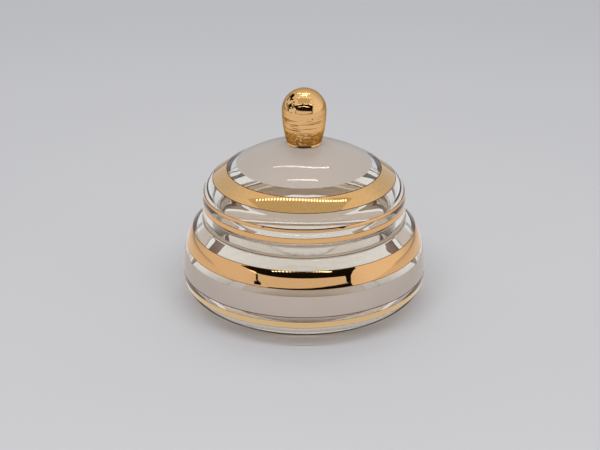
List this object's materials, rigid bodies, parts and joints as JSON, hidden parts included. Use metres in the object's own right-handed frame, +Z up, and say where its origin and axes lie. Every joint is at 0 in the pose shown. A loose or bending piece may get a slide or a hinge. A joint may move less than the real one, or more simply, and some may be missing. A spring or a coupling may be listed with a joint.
{
  "type": "trinket box",
  "caption": "round clear glass trinket box with a squat bulbous bowl, a deep domed lift-off lid, a gilded knob, gold bands and satin panels",
  "frame": {"origin": "centre of the bowl's foot, on the table", "axes": "+Z up along the common axis of bowl, lid and knob; X and Y are alike"},
  "size_m": [0.1204, 0.1204, 0.111],
  "materials": {
    "clear_glass": "clear, polished, faintly warm",
    "gilding": "bright fired gold",
    "satin_enamel": "satin, pale taupe"
  },
  "bodies": {
    "bowl": {"bowl_glass": "clear_glass", "bowl_foot_gold_line": "gilding", "bowl_belly_satin_band": "satin_enamel", "bowl_shoulder_gold_band": "gilding"},
    "lid": {"lid_glass": "clear_glass", "lid_lower_gold_line": "gilding", "lid_upper_gold_line": "gilding", "lid_shoulder_gold_band": "gilding", "lid_dome_satin": "satin_enamel", "lid_knob": "clear_glass", "lid_knob_gilding": "gilding"}
  },
  "joints": [
    {"name": "lid_lift", "type": "slide", "parent": "bowl", "child": "lid", "axis": [0, 0, 1], "range_m": [0, 0.06]}
  ]
}
